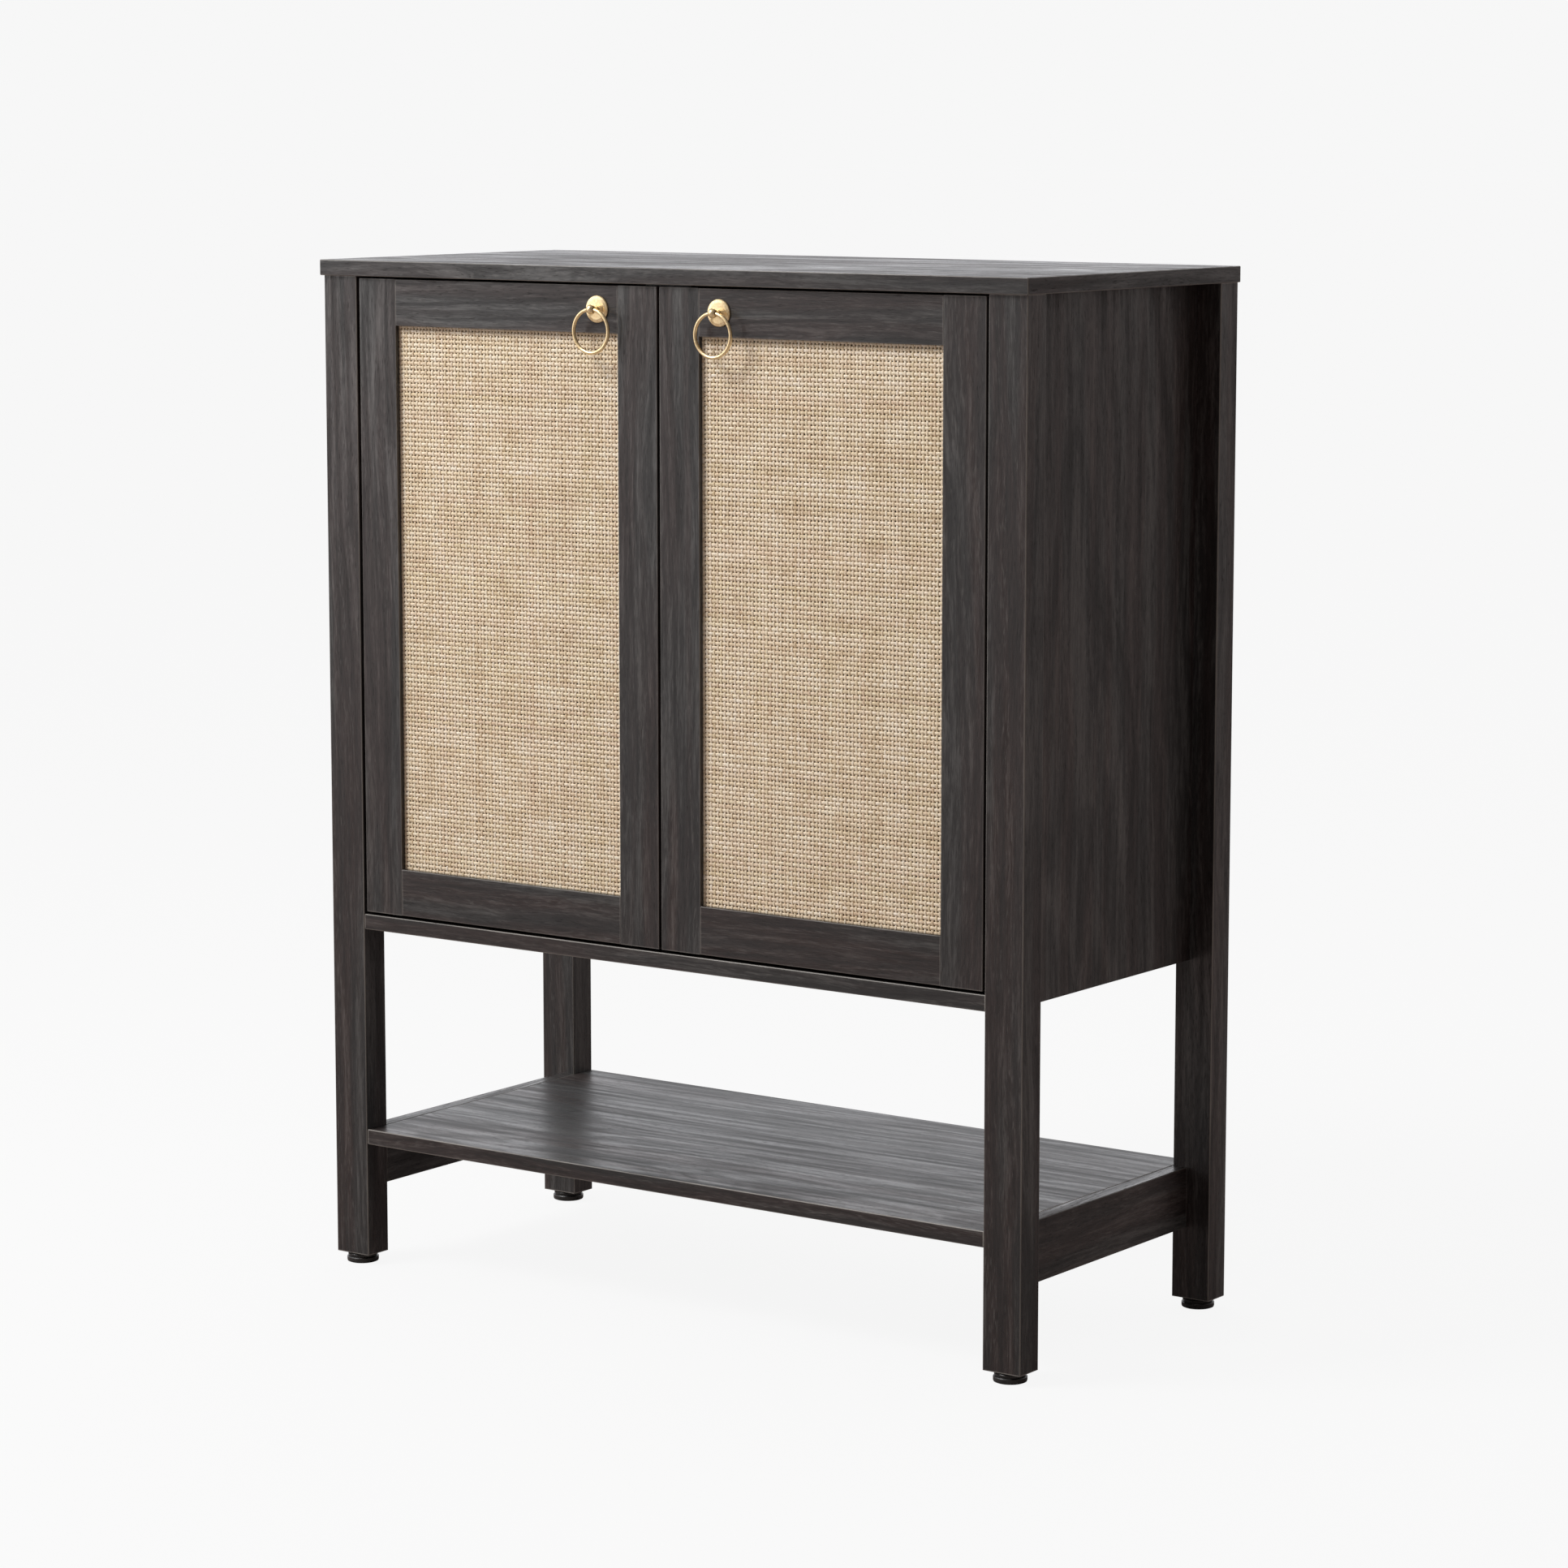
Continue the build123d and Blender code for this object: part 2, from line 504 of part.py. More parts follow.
# ---------------------------------------------------------------- magnetic catch
def make_catch():
    """One double magnet under the top, and a steel strike on the back of each door."""
    corner = 1.5
    face = DOOR_BACK + CATCH_CLEAR
    body = block(-CATCH_HALF, CATCH_HALF, face, face + CATCH_DEEP, TOP_UNDER - CATCH_HIGH, TOP_UNDER)
    parts["magnet_catch"] = rounded(body, [Axis.Y], corner)
    levels = [DOOR_HIGH - drop for drop in STRIKE_DROP]
    for side, s in SIDES:
        inner = s * (DOOR_MEET_EDGE + STRIKE_FROM_MEET)
        outer = inner + s * STRIKE_LONG
        strike = block(inner, outer, DOOR_BACK, DOOR_BACK + STRIKE_THICK, *levels)
        parts[f"{side}_strike_plate"] = rounded(strike, [Axis.Y], corner)


make_carcass()
make_inner_shelves()
make_dowels()
make_cams()
make_feet()
side_screws = []
for side_name, sign in SIDES:
    make_door(side_name, sign)
    make_pull(side_name, sign)
    make_hinges(side_name, sign, side_screws)
parts["hinge_plate_screws"] = group(side_screws)
make_catch()

for part_name, shape in parts.items():
    export_step(shape, f"parts/{part_name}.step")
print(len(parts), "nodes")
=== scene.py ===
import math
import random

import bpy
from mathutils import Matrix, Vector


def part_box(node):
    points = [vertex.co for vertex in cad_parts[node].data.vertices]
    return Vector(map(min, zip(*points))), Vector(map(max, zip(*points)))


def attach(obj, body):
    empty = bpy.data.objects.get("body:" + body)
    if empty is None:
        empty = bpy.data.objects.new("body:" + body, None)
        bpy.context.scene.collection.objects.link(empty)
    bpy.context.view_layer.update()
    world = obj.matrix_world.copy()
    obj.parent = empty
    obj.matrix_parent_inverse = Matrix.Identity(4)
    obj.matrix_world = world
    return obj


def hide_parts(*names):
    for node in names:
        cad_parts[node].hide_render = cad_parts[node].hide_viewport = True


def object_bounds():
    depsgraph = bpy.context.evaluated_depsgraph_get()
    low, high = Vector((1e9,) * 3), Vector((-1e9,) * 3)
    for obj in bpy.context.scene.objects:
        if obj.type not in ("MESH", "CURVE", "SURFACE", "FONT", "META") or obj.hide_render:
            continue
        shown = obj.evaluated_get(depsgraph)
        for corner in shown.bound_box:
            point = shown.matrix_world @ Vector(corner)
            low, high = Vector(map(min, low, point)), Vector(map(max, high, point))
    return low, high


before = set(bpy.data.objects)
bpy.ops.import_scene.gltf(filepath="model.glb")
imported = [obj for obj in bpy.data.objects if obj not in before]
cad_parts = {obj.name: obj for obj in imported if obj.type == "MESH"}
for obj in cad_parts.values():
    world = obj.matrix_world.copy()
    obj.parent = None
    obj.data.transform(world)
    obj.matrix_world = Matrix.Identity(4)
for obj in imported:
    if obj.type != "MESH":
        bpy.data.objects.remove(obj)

cad_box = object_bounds()

# Looks of the two-door shoe cabinet: dark woodgrain boards, woven rattan panels, satin brass pulls.
# Metres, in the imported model's own frame: -Y out of the doors, +Z up, floor at z = 0.
MM = 0.001
SIDES = ("left", "right")
SEED = 41
DRAWS = random.Random(SEED)

# ---------------------------------------------------------------- camera and light
CAMERA_PLACE = (2.6066, -3.5956, 1.1317)
CAMERA_PITCH = 81.75      # degrees from straight down
CAMERA_YAW = 35.746       # degrees, turned from +Y towards -X
CAMERA_LENS = 108.31
SENSOR = 36.0

BACKDROP = 0.930          # linear, a pale studio white
BRIGHT_SIDE = (-0.80, 0.60, 0.05)   # direction of the studio's bright wall
SKY_BRIGHT = 1.34         # light from that wall
SKY_DIM = 0.20            # light from the opposite, dim side
SKY_DIM_TINT = (1.0, 0.90, 0.86, 1.0)
SKY_BRIGHT_TINT = (0.99, 1.0, 1.035, 1.0)
FLOOR_BOUNCE = (0.38, 0.325, 0.305, 1.0)   # colour of the light that the floor sends back up
FLOOR_PALE = 0.948        # what the floor shows by itself, so that it blends into the backdrop
FLOOR_SHADOW = 0.05       # how far a contact shadow shows on the floor
KEY_PLACE = (-1.5, -1.9, 3.1)
KEY_SIZE = 1.3
KEY_POWER = 98.0
GLOSS_PLACE = (-1.80, -1.60, 1.10)   # a card that only shows in glossy surfaces
GLOSS_SIZE = 1.4
GLOSS_POWER = 10.0

FLOOR_HALF = 60.0         # half the side of the floor sheet
WHITE_PAINT = 0.9         # how pale the floor is where a contact shadow can show

# ---------------------------------------------------------------- wood
# Sizes in mm of the layers of the figure, across, across and along the grain.
SWAY = (70, 70, 420)
RIPPLE = (9, 9, 40)
FIBRE = (1.3, 1.3, 15)
GRAIN = (3.4, 3.4, 55)
STREAK = (9, 9, 190)
BROAD = (26, 26, 520)
FLECK = (1.3, 1.3, 11)
PORE = (0.9, 0.9, 10)
SWAY_SHIFT = 34           # full swing in mm, sideways, that the sway gives the figure
RIPPLE_SHIFT = 3          # the same for the ripple
RING_WIDTH = 6.0          # mm across the grain over which the growth rings change
RING_LENGTH = 700.0       # mm along the grain over which they change
LOG_TAPER = 0.05          # how fast the rings shift sideways along the grain
SHEEN = (0.28, 0.56)      # least and most roughness of the outer boards, between the pores
DEEP = 0.10 * MM          # embossing of the outer boards
CALM_SHEEN = (0.32, 0.52)   # what SHEEN becomes on the shelves, the cabinet's bottom and the back
SHALLOW = 0.03 * MM       # embossing of those boards
EDGE_HIGHLIGHT_FADE = (0.45 * MM, 1.15 * MM)   # distances from an edge where its painted highlight starts to fade and ends
# Colour of the painted highlight along the board edges, which stands in for the light their rounded
# edges catch.
EDGE_HIGHLIGHT_TONE = (0.240, 0.225, 0.205, 1.0)
FLECK_TONE = (0.125, 0.118, 0.112, 1.0)
PORE_TONE = (0.0055, 0.0043, 0.0038, 1.0)
SHELF_EDGE_HIGHLIGHT = {"bottom_panel": 1.0, "lower_shelf": 1.0, "inner_shelf_lower": 0.5,
              "inner_shelf_middle": 0.5, "inner_shelf_upper": 0.5}   # how strong the painted highlight along their edges is

# ---------------------------------------------------------------- weave
WARP_PITCH = 3.98 * MM    # upright strands, side by side
WEFT_PITCH = 4.28 * MM    # level strands, one above another
STRAND_SHARE = 0.79       # strand width over pitch
STRAND_THICK = 0.95 * MM
WEAVE_RISE = 0.54 * MM    # how far a strand goes to the front or the back at a crossing
STRAND_WANDER = 0.12 * MM # how far off its place a strand may lie
STRAND_DRIFT = 0.14 * MM  # how far a strand snakes along its length
DRIFT_STEP = 0.11         # radians of that snaking per half crossing


class Graph:
    """A short way to write a node tree: each call adds a node and gives its output."""

    def __init__(self, tree):
        self.tree = tree
        tree.nodes.clear()

    def node(self, kind, inputs=None, **settings):
        node = self.tree.nodes.new("ShaderNode" + kind)
        for name, value in settings.items():
            setattr(node, name, value)
        for name, value in (inputs or {}).items():
            if isinstance(value, bpy.types.NodeSocket):
                self.tree.links.new(value, node.inputs[name])
            else:
                node.inputs[name].default_value = value
        return node

    def maths(self, operation, first, second=0.0):
        return self.node("Math", {0: first, 1: second}, operation=operation).outputs[0]

    def vector(self, operation, first, second=(0, 0, 0)):
        inputs = {0: first, 1: second}
        return self.node("VectorMath", inputs, operation=operation).outputs["Vector"]

    def noise(self, place, detail=2.0, rough=0.5, output="Fac"):
        inputs = {"Vector": place, "Scale": 1.0, "Detail": detail, "Roughness": rough}
        return self.node("TexNoise", inputs).outputs[output]

    def stretched(self, place, sizes, detail=2.0, rough=0.5, output="Fac"):
        """Noise whose features have the given sizes along x, y and z, in the unit of `place`."""
        scale = tuple(1 / size for size in sizes)
        return self.noise(self.vector("MULTIPLY", place, scale), detail, rough, output)

    def spread(self, value, low, high, to_low=0.0, to_high=1.0):
        inputs = {"Value": value, "From Min": low, "From Max": high, "To Min": to_low,
                  "To Max": to_high}
        return self.node("MapRange", inputs).outputs["Result"]

    def ramp(self, value, *stops):
        """A colour ramp; each stop is (position, colour), in rising order."""
        node = self.node("ValToRGB", {"Fac": value})
        elements = node.color_ramp.elements
        while len(elements) < len(stops):
            elements.new(1.0)
        for element, (position, colour) in zip(elements, stops):
            element.position = position
            element.color = colour
        return node.outputs["Color"]

    def mix(self, share, first, second, blend="MIX"):
        """Two colours mixed; the Mix node keeps its colour sockets at 6 and 7 and its result at 2."""
        inputs = {0: share, 6: first, 7: second}
        return self.node("Mix", inputs, data_type="RGBA", blend_type=blend).outputs[2]


def rgb(red, green, blue):
    return (red, green, blue, 1.0)


def new_material(name):
    material = bpy.data.materials.new(name)
    material.use_nodes = True
    return material, Graph(material.node_tree)


def finish_material(graph, constants, colour, roughness, height, depth):
    """The Principled shader with its constants on its own sockets, and the varying inputs linked."""
    shader = graph.node("BsdfPrincipled", {"Base Color": colour})
    for name, value in constants.items():
        shader.inputs[name].default_value = value
    if roughness is not None:
        graph.tree.links.new(roughness, shader.inputs["Roughness"])
    bump = graph.node("Bump", {"Height": height, "Distance": depth, "Strength": 1.0})
    graph.tree.links.new(bump.outputs["Normal"], shader.inputs["Normal"])
    output = graph.node("OutputMaterial")
    graph.tree.links.new(shader.outputs[0], output.inputs["Surface"])


# ---------------------------------------------------------------- wood material
def make_wood_group():
    """Dark oak figure. Place is in mm with the grain along z; Point, Low and High find board edges."""
    tree = bpy.data.node_groups.new("wood_figure", "ShaderNodeTree")
    for name in ("Place", "Point", "Low", "High"):
        tree.interface.new_socket(name, in_out="INPUT", socket_type="NodeSocketVector")
    tree.interface.new_socket("Edge", in_out="INPUT", socket_type="NodeSocketFloat")
    tree.interface.new_socket("Color", in_out="OUTPUT", socket_type="NodeSocketColor")
    for name in ("Roughness", "Height"):
        tree.interface.new_socket(name, in_out="OUTPUT", socket_type="NodeSocketFloat")
    g = Graph(tree)
    given = tree.nodes.new("NodeGroupInput").outputs

    place = given["Place"]
    for sizes, shift in ((SWAY, SWAY_SHIFT), (RIPPLE, RIPPLE_SHIFT)):
        bend = g.stretched(given["Place"], sizes, 2.0, 0.5, "Color")
        bend = g.vector("SUBTRACT", bend, (0.5, 0.5, 0.5))
        place = g.vector("ADD", place, g.vector("MULTIPLY", bend, (shift, shift, 0)))

    parts = g.node("SeparateXYZ", {"Vector": place}).outputs
    across = g.maths("ADD", parts["X"], g.maths("MULTIPLY", parts["Z"], LOG_TAPER))
    square = g.maths("ADD", g.maths("MULTIPLY", across, across),
                     g.maths("MULTIPLY", parts["Y"], parts["Y"]))
    ring = g.node("CombineXYZ", {"X": g.maths("DIVIDE", g.maths("SQRT", square), RING_WIDTH),
                                 "Y": g.maths("DIVIDE", parts["Z"], RING_LENGTH)}).outputs[0]
    growth = g.noise(ring, 3.0, 0.62)

    fibre = g.stretched(place, FIBRE, 3.0, 0.62)
    grain = g.stretched(place, GRAIN, 2.0, 0.55)
    streak = g.stretched(place, STREAK, 2.0, 0.55)
    broad = g.stretched(place, BROAD, 1.0)
    fleck = g.stretched(place, FLECK, 1.0)
    pore = g.stretched(place, PORE, 1.0)

    value = g.maths("MULTIPLY", fibre, 0.20)
    for layer, weight in ((grain, 0.22), (streak, 0.24), (growth, 0.18), (broad, 0.16)):
        value = g.maths("ADD", value, g.maths("MULTIPLY", layer, weight))
    tone = g.spread(value, 0.41, 0.59)
    warm = g.ramp(tone, (0.0, rgb(0.0070, 0.0044, 0.0040)), (0.5, rgb(0.0246, 0.0170, 0.0160)),
                  (1.0, rgb(0.0745, 0.0635, 0.0600)))
    cool = g.ramp(tone, (0.0, rgb(0.0054, 0.0050, 0.0050)), (0.5, rgb(0.0184, 0.0176, 0.0174)),
                  (1.0, rgb(0.0650, 0.0645, 0.0630)))
    colour = g.mix(g.spread(broad, 0.43, 0.57), warm, cool)
    cluster = g.spread(growth, 0.44, 0.60)
    light = g.maths("MULTIPLY", g.spread(fleck, 0.54, 0.74), g.maths("MULTIPLY", cluster, 0.42))
    colour = g.mix(light, colour, FLECK_TONE)
    open_pore = g.spread(pore, 0.60, 0.70)
    colour = g.mix(g.maths("MULTIPLY", open_pore, 0.5), colour, PORE_TONE)

    # Painted highlight: a lighter band along each edge of the board, in place of the light that a
    # rounded edge catches.
    low = g.vector("SUBTRACT", given["Point"], given["Low"])
    high = g.vector("SUBTRACT", given["High"], given["Point"])
    near = g.node("SeparateXYZ", {"Vector": g.vector("MINIMUM", low, high)}).outputs
    smaller = g.maths("MINIMUM", near["X"], near["Y"])
    larger = g.maths("MAXIMUM", near["X"], near["Y"])
    to_edge = g.maths("MAXIMUM", smaller, g.maths("MINIMUM", larger, near["Z"]))
    edge_highlight = g.spread(to_edge, *EDGE_HIGHLIGHT_FADE, 1.0, 0.0)
    edge_highlight = g.maths("MULTIPLY", edge_highlight, g.spread(streak, 0.30, 0.55, 0.55, 1.0))
    edge_highlight = g.maths("MULTIPLY", edge_highlight, given["Edge"])
    colour = g.mix(edge_highlight, colour, EDGE_HIGHLIGHT_TONE)

    matt = g.maths("ADD", g.maths("MULTIPLY", growth, 0.5), g.maths("MULTIPLY", streak, 0.5))
    smoothest, roughest = SHEEN
    rough = g.maths("ADD", g.spread(matt, 0.40, 0.60, roughest, smoothest),
                    g.maths("MULTIPLY", open_pore, 0.25))
    pit = g.maths("MULTIPLY", open_pore, 0.4)
    relief = g.maths("SUBTRACT", g.maths("MULTIPLY", fibre, 0.6), pit)
    relief = g.maths("ADD", relief, grain)
    relief = g.maths("ADD", relief, g.maths("MULTIPLY", streak, 1.1))

    result = tree.nodes.new("NodeGroupOutput")
    tree.links.new(colour, result.inputs["Color"])
    tree.links.new(rough, result.inputs["Roughness"])
    tree.links.new(relief, result.inputs["Height"])
    return tree


GRAIN_TURN = {"X": (0, math.radians(90), 0), "Y": (math.radians(90), 0, 0), "Z": (0, 0, 0)}


def wood_material(name, group, grain, edge=0.0, calm=False, banded=False):
    """One board's own cut of the wood: its grain direction, its place in the log and its edges.

    A calm board has shallow relief and a more even sheen, so that it ripples less when seen
    edge-on. The ends of a banded board carry edge band, whose grain runs along the edge.
    """
    material, g = new_material("wood_" + name)
    point = g.node("TexCoord").outputs["Object"]
    scaled = g.vector("MULTIPLY", point, (1 / MM, 1 / MM, 1 / MM))
    shift = (DRAWS.uniform(60, 170), DRAWS.uniform(60, 170), DRAWS.uniform(-900, 900))
    turned = g.node("Mapping", {"Vector": scaled, "Rotation": GRAIN_TURN[grain],
                                "Location": shift}).outputs[0]
    if banded:
        band = g.node("Mapping", {"Vector": scaled, "Rotation": GRAIN_TURN["Y"],
                                  "Location": shift}).outputs[0]
        normal = g.node("SeparateXYZ", {"Vector": g.node("TexCoord").outputs["Normal"]}).outputs
        at_end = g.maths("GREATER_THAN", g.maths("ABSOLUTE", normal["X"]), 0.7)
        turned = g.node("Mix", {0: at_end, 4: turned, 5: band}, data_type="VECTOR").outputs[1]
    low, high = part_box(name)
    figure = g.node("Group", node_tree=group)
    for socket, value in (("Place", turned), ("Point", point)):
        g.tree.links.new(value, figure.inputs[socket])
    figure.inputs["Low"].default_value = low
    figure.inputs["High"].default_value = high
    figure.inputs["Edge"].default_value = edge
    rough = figure.outputs["Roughness"]
    if calm:
        rough = g.spread(rough, *SHEEN, *CALM_SHEEN)
    finish_material(g, {"IOR": 1.5, "Specular IOR Level": 0.5}, figure.outputs["Color"],
                    rough, figure.outputs["Height"], SHALLOW if calm else DEEP)
    return material


# ---------------------------------------------------------------- other materials
def object_point(g):
    point = g.node("TexCoord").outputs["Object"]
    return g.vector("MULTIPLY", point, (1 / MM, 1 / MM, 1 / MM))


def make_brass():
    material, g = new_material("satin_brass")
    place = object_point(g)
    brushed = g.stretched(place, (3.0, 3.0, 0.12), 2.0)
    cloud = g.stretched(place, (1.8, 1.8, 1.8), 4.0, 0.6)
    colour = g.mix(g.spread(cloud, 0.36, 0.64), rgb(0.76, 0.56, 0.30), rgb(0.90, 0.75, 0.47))
    rough = g.maths("ADD", g.spread(brushed, 0.3, 0.7, 0.27, 0.34),
                    g.spread(cloud, 0.3, 0.7, 0.0, 0.09))
    finish_material(g, {"Metallic": 1.0}, colour, rough, brushed, 0.004 * MM)
    return material


def make_steel(name, tone, roughness):
    material, g = new_material(name)
    place = object_point(g)
    brushed = g.stretched(place, (0.12, 2.5, 2.5), 2.0)
    cloud = g.stretched(place, (9, 9, 9), 3.0)
    colour = g.mix(g.spread(cloud, 0.3, 0.7), rgb(tone * 0.86, tone * 0.86, tone * 0.88),
                   rgb(tone, tone, tone))
    rough = g.spread(brushed, 0.3, 0.7, roughness - 0.05, roughness + 0.07)
    finish_material(g, {"Metallic": 1.0}, colour, rough, brushed, 0.01 * MM)
    return material


def make_plastic(name, tone):
    """Moulded plastic with a fine spark-eroded texture and slight scuffs."""
    material, g = new_material(name)
    place = object_point(g)
    texture = g.stretched(place, (0.35, 0.35, 0.35), 1.0)
    scuff = g.stretched(place, (5, 5, 2), 4.0, 0.6)
    colour = g.mix(g.spread(scuff, 0.4, 0.7), rgb(tone, tone, tone),
                   rgb(tone * 2.2, tone * 2.1, tone * 2.0))
    rough = g.spread(scuff, 0.35, 0.7, 0.24, 0.42)
    finish_material(g, {"IOR": 1.5}, colour, rough, texture, 0.02 * MM)
    return material


def make_beech():
    material, g = new_material("beech")
    place = object_point(g)
    fibre = g.stretched(place, (9, 0.6, 0.6), 3.0)
    fleck = g.stretched(place, (2.0, 0.5, 0.5), 1.0)
    colour = g.mix(fibre, rgb(0.42, 0.26, 0.14), rgb(0.66, 0.47, 0.29))
    colour = g.mix(g.spread(fleck, 0.6, 0.75), colour, rgb(0.30, 0.17, 0.09))
    finish_material(g, {"IOR": 1.5, "Roughness": 0.6}, colour, None, fibre, 0.05 * MM)
    return material


def make_cane(name, sizes):
    """Split cane: fibres along the strand, each strand of its own tone, clouds over the panel."""
    material, g = new_material(name)
    place = object_point(g)
    strand = g.node("Attribute", attribute_name="strand").outputs["Fac"]
    jump = g.maths("MULTIPLY", strand, 900.0)
    own = g.vector("ADD", place, g.node("CombineXYZ", {"Y": jump}).outputs[0])
    fibre = g.stretched(own, sizes, 2.0, 0.6)
    along = tuple(6.0 if size > 1 else 3.0 for size in sizes)
    patch = g.stretched(own, along, 2.0)
    cloud = g.stretched(place, (34, 34, 26), 3.0)
    tone = g.maths("MULTIPLY", fibre, 0.35)
    for layer, weight in ((patch, 0.34), (cloud, 0.22), (strand, 0.09)):
        tone = g.maths("ADD", tone, g.maths("MULTIPLY", layer, weight))
    colour = g.ramp(g.spread(tone, 0.34, 0.66), (0.0, rgb(0.56, 0.41, 0.25)),
                    (0.5, rgb(0.825, 0.69, 0.495)), (1.0, rgb(0.95, 0.885, 0.75)))
    tint = g.node("TexWhiteNoise", {"W": jump}, noise_dimensions="1D").outputs["Color"]
    colour = g.mix(0.06, colour, tint, "SOFT_LIGHT")
    knot = g.spread(g.stretched(own, (2.6, 2.6, 2.6), 1.0), 0.70, 0.78)
    colour = g.mix(g.maths("MULTIPLY", knot, 0.55), colour, rgb(0.36, 0.22, 0.10))
    rough = g.spread(fibre, 0.3, 0.7, 0.58, 0.40)
    finish_material(g, {"IOR": 1.5, "Specular IOR Level": 0.45}, colour, rough, fibre, 0.06 * MM)
    return material


# ---------------------------------------------------------------- rattan weave
def ribbon(corners, faces, centres, normal, across, width, crown):
    """Adds one closed strand: a flat back and a front of two fibres with a groove between."""
    section = ((-0.5, 0.0), (-0.26, 1.0), (0.0, 0.72), (0.26, 1.0), (0.5, 0.0))
    start = len(corners)
    count = len(section)
    for centre in centres:
        back = centre - normal * (crown / 2)
        corners.extend(back + across * (u * width) + normal * (v * crown) for u, v in section)
    for ring in range(len(centres) - 1):
        base = start + ring * count
        for k in range(count):
            after = (k + 1) % count
            faces.append((base + k, base + after, base + count + after, base + count + k))
    last = start + (len(centres) - 1) * count
    faces.append(tuple(start + k for k in reversed(range(count))))
    faces.append(tuple(last + k for k in range(count)))


def weave_layer(side, upright, material):
    """All the upright or all the level strands of one door's panel, woven over and under."""
    low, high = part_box(f"{side}_door_rattan_panel")
    columns = round((high.x - low.x) / WARP_PITCH)
    rows = round((high.z - low.z) / WEFT_PITCH)
    step = Vector(((high.x - low.x) / columns, 0, (high.z - low.z) / rows))
    middle = (low.y + high.y) / 2
    front = Vector((0, -1, 0))
    corners = []
    faces = []
    tones = []
    strands, crossings = (columns, rows) if upright else (rows, columns)
    across = Vector((1, 0, 0)) if upright else Vector((0, 0, 1))
    along = Vector((0, 0, 1)) if upright else Vector((1, 0, 0))
    pitch = step.x if upright else step.z
    stride = step.z if upright else step.x
    origin = Vector((low.x, middle, low.z))
    for n in range(strands):
        turn = n if upright else n + 1
        wander = DRAWS.uniform(-STRAND_WANDER, STRAND_WANDER)
        phase = DRAWS.uniform(0, math.tau)
        width = pitch * (STRAND_SHARE + DRAWS.uniform(-0.05, 0.05))
        rise = WEAVE_RISE * DRAWS.uniform(0.85, 1.0)
        centres = []
        for k in range(2 * crossings + 1):
            drift = wander + STRAND_DRIFT * math.sin(phase + k * DRIFT_STEP)
            height = rise * math.sin(math.pi * (k / 2 + turn))
            centres.append(origin + across * (pitch * (n + 0.5) + drift)
                           + along * (stride * k / 2) + front * height)
        before = len(corners)
        ribbon(corners, faces, centres, front, across, width, STRAND_THICK)
        tones.extend([DRAWS.random()] * (len(corners) - before))
    name = f"{side}_rattan_{'warp' if upright else 'weft'}"
    mesh = bpy.data.meshes.new(name)
    mesh.from_pydata(corners, [], faces)
    mesh.attributes.new("strand", "FLOAT", "POINT").data.foreach_set("value", tones)
    mesh.polygons.foreach_set("use_smooth", [True] * len(mesh.polygons))
    mesh.materials.append(material)
    piece = bpy.data.objects.new(name, mesh)
    bpy.context.scene.collection.objects.link(piece)
    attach(piece, f"door_{side}")
    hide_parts(f"{side}_door_rattan_panel")


def make_weave():
    warp = make_cane("cane_warp", (0.45, 0.45, 14))
    weft = make_cane("cane_weft", (14, 0.45, 0.45))
    for side in SIDES:
        weave_layer(side, True, warp)
        weave_layer(side, False, weft)


# ---------------------------------------------------------------- which material is on which piece
def paint(name, material):
    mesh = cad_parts[name].data
    mesh.materials.clear()
    mesh.materials.append(material)


def paint_wood():
    group = make_wood_group()
    for name in [f"leg_{end}_{side}" for end in ("front", "rear") for side in SIDES]:
        paint(name, wood_material(name, group, "Z", 0.8))
    for side in SIDES:
        paint(f"side_panel_{side}", wood_material(f"side_panel_{side}", group, "Z"))
        paint(f"lower_rail_{side}", wood_material(f"lower_rail_{side}", group, "Y", 0.3))
        for member, grain in (("hinge_stile", "Z"), ("meeting_stile", "Z"), ("top_rail", "X"),
                              ("bottom_rail", "X")):
            name = f"{side}_door_{member}"
            paint(name, wood_material(name, group, grain, 0.35))
        name = f"{side}_door_retaining_strips"
        paint(name, wood_material(name, group, "Z"))
    paint("top_panel", wood_material("top_panel", group, "X", 0.6, banded=True))
    for name, edge in SHELF_EDGE_HIGHLIGHT.items():
        paint(name, wood_material(name, group, "X", edge, calm=True))
    paint("back_panel", wood_material("back_panel", group, "Z", calm=True))


def paint_hardware():
    brass = make_brass()
    steel = make_steel("nickel_steel", 0.62, 0.28)
    zinc = make_steel("zinc_alloy", 0.48, 0.38)
    black = make_plastic("black_plastic", 0.011)
    grey = make_plastic("catch_plastic", 0.03)
    beech = make_beech()
    for side in SIDES:
        for piece in ("backplate", "post", "ring"):
            paint(f"{side}_pull_{piece}", brass)
        for piece in ("pull_screw", "hinge_cups", "hinge_pins", "hinge_cup_screws", "hinge_arms",
                      "hinge_plates", "strike_plate"):
            paint(f"{side}_{piece}", steel)
        paint(f"{side}_door_dowels", beech)
        for end in ("front", "rear"):
            paint(f"foot_{end}_{side}", black)
    for name in ("cam_bolts", "cam_locks"):
        paint(name, zinc)
    for name in ("shelf_pins", "hinge_plate_screws"):
        paint(name, steel)
    paint("magnet_catch", grey)
    paint("foot_inserts", black)
    paint("dowels", beech)


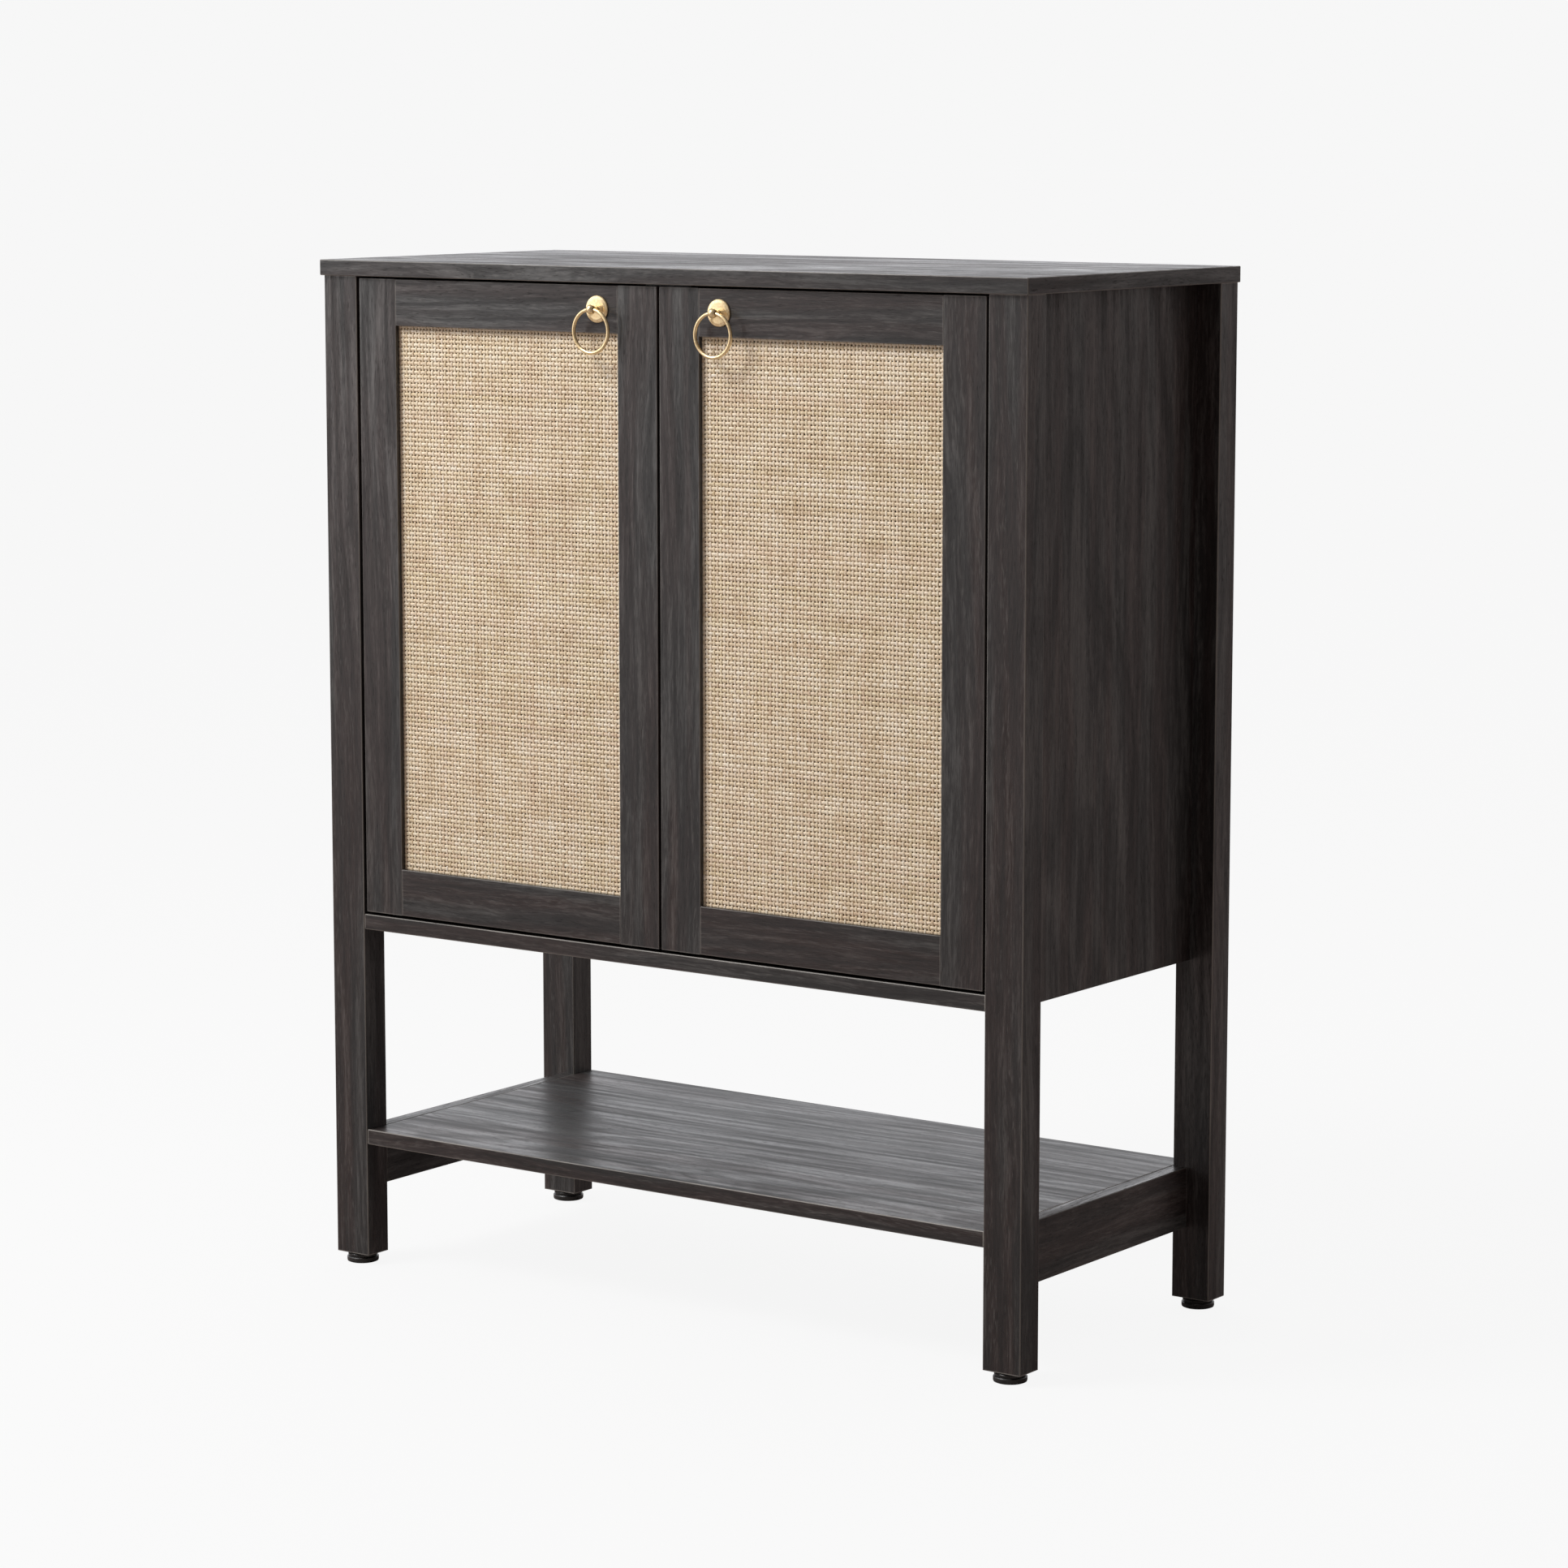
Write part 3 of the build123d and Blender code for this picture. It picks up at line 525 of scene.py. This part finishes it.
# ---------------------------------------------------------------- studio
def make_world():
    world = bpy.data.worlds.new("studio")
    bpy.context.scene.world = world
    world.use_nodes = True
    g = Graph(world.node_tree)
    direction = g.node("TexCoord").outputs["Generated"]
    seen = g.node("LightPath").outputs["Is Camera Ray"]
    facing = g.node("VectorMath", {0: direction, 1: BRIGHT_SIDE}, operation="DOT_PRODUCT")
    share = g.spread(facing.outputs["Value"], -0.58, 0.95)
    light = g.maths("ADD", g.maths("MULTIPLY", share, SKY_BRIGHT - SKY_DIM), SKY_DIM)
    tint = g.mix(share, SKY_DIM_TINT, SKY_BRIGHT_TINT)
    tint = g.mix(seen, tint, rgb(1, 1, 1))
    strength = g.node("Mix", {0: seen, 2: light, 3: BACKDROP}).outputs[0]
    sky = g.node("Background", {"Color": tint, "Strength": strength})
    output = g.node("OutputWorld")
    g.tree.links.new(sky.outputs[0], output.inputs["Surface"])


def make_floor():
    mesh = bpy.data.meshes.new("floor")
    corners = [(x * FLOOR_HALF, y * FLOOR_HALF, 0) for x, y in ((-1, -1), (1, -1), (1, 1), (-1, 1))]
    mesh.from_pydata(corners, [], [(0, 1, 2, 3)])
    material, g = new_material("floor")
    bounce = g.node("BsdfDiffuse", {"Color": FLOOR_BOUNCE})
    pale = g.node("Emission", {"Color": rgb(1, 1, 1), "Strength": FLOOR_PALE})
    white = g.node("BsdfDiffuse", {"Color": rgb(WHITE_PAINT, WHITE_PAINT, WHITE_PAINT)})
    shown = g.node("MixShader", {0: FLOOR_SHADOW, 1: pale.outputs[0], 2: white.outputs[0]})
    seen = g.node("LightPath").outputs["Is Camera Ray"]
    surface = g.node("MixShader", {0: seen, 1: bounce.outputs[0], 2: shown.outputs[0]})
    output = g.node("OutputMaterial")
    g.tree.links.new(surface.outputs[0], output.inputs["Surface"])
    mesh.materials.append(material)
    floor = bpy.data.objects.new("floor", mesh)
    bpy.context.scene.collection.objects.link(floor)


def make_light(name, place, size, power):
    """A square soft light that points at the middle of the cabinet, out of the camera's sight."""
    data = bpy.data.lights.new(name, "AREA")
    data.shape = "SQUARE"
    data.size = size
    data.energy = power
    lamp = bpy.data.objects.new(name, data)
    lamp.location = place
    middle = Vector((0, 0, cad_box[1].z / 2))
    lamp.rotation_euler = (middle - lamp.location).to_track_quat("-Z", "Y").to_euler()
    lamp.visible_camera = False
    bpy.context.scene.collection.objects.link(lamp)
    return lamp


def make_camera():
    data = bpy.data.cameras.new("camera")
    data.sensor_width = SENSOR
    data.lens = CAMERA_LENS
    camera = bpy.data.objects.new("camera", data)
    camera.location = CAMERA_PLACE
    camera.rotation_euler = (math.radians(CAMERA_PITCH), 0, math.radians(CAMERA_YAW))
    bpy.context.scene.collection.objects.link(camera)
    bpy.context.scene.camera = camera


bpy.context.scene.view_settings.view_transform = "Standard"
paint_wood()
paint_hardware()
make_weave()
make_world()
make_floor()
make_light("key", KEY_PLACE, KEY_SIZE, KEY_POWER)
gloss_card = make_light("gloss_card", GLOSS_PLACE, GLOSS_SIZE, GLOSS_POWER)
gloss_card.visible_diffuse = False
make_camera()
